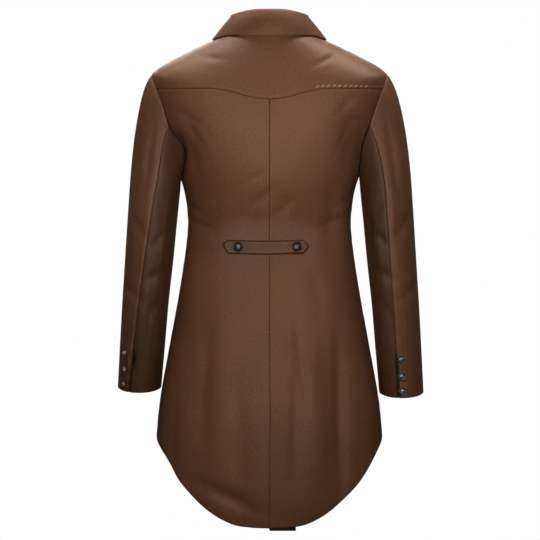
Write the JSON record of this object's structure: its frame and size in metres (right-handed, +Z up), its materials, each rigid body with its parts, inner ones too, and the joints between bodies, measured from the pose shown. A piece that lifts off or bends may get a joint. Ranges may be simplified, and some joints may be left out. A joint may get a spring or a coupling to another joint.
{
  "type": "steampunk tail jacket",
  "caption": "Filled-out men's tail jacket with turned-down collar, yoke, half belt, back vent, buttoned cuffs and a long rounded tail",
  "frame": {"origin": "the nape: the cloth at the middle of the back neck seam, where the wearer carries the jacket", "axes": "+Z up, +X to the wearer's left, the back faces +Y and the front faces -Y"},
  "size_m": [0.5864, 0.2809, 0.9865],
  "materials": {
    "jacket_cloth": "fine brown twill with a soft satin sheen",
    "button_metal": "antiqued silver-grey metal"
  },
  "bodies": {
    "root": {"yoke": "jacket_cloth", "back_left": "jacket_cloth", "back_right": "jacket_cloth", "front_left": "jacket_cloth", "front_right": "jacket_cloth", "collar": "jacket_cloth", "upper_sleeve_left": "jacket_cloth", "under_sleeve_left": "jacket_cloth", "upper_sleeve_right": "jacket_cloth", "under_sleeve_right": "jacket_cloth", "half_belt": "jacket_cloth", "half_belt_button_left": "button_metal", "half_belt_button_right": "button_metal", "cuff_button_left_1": "button_metal", "cuff_button_left_2": "button_metal", "cuff_button_left_3": "button_metal", "cuff_button_right_1": "button_metal", "cuff_button_right_2": "button_metal", "cuff_button_right_3": "button_metal", "front_button_1": "button_metal", "front_button_2": "button_metal", "front_button_3": "button_metal", "front_button_4": "button_metal", "front_button_5": "button_metal"}
  },
  "joints": []
}
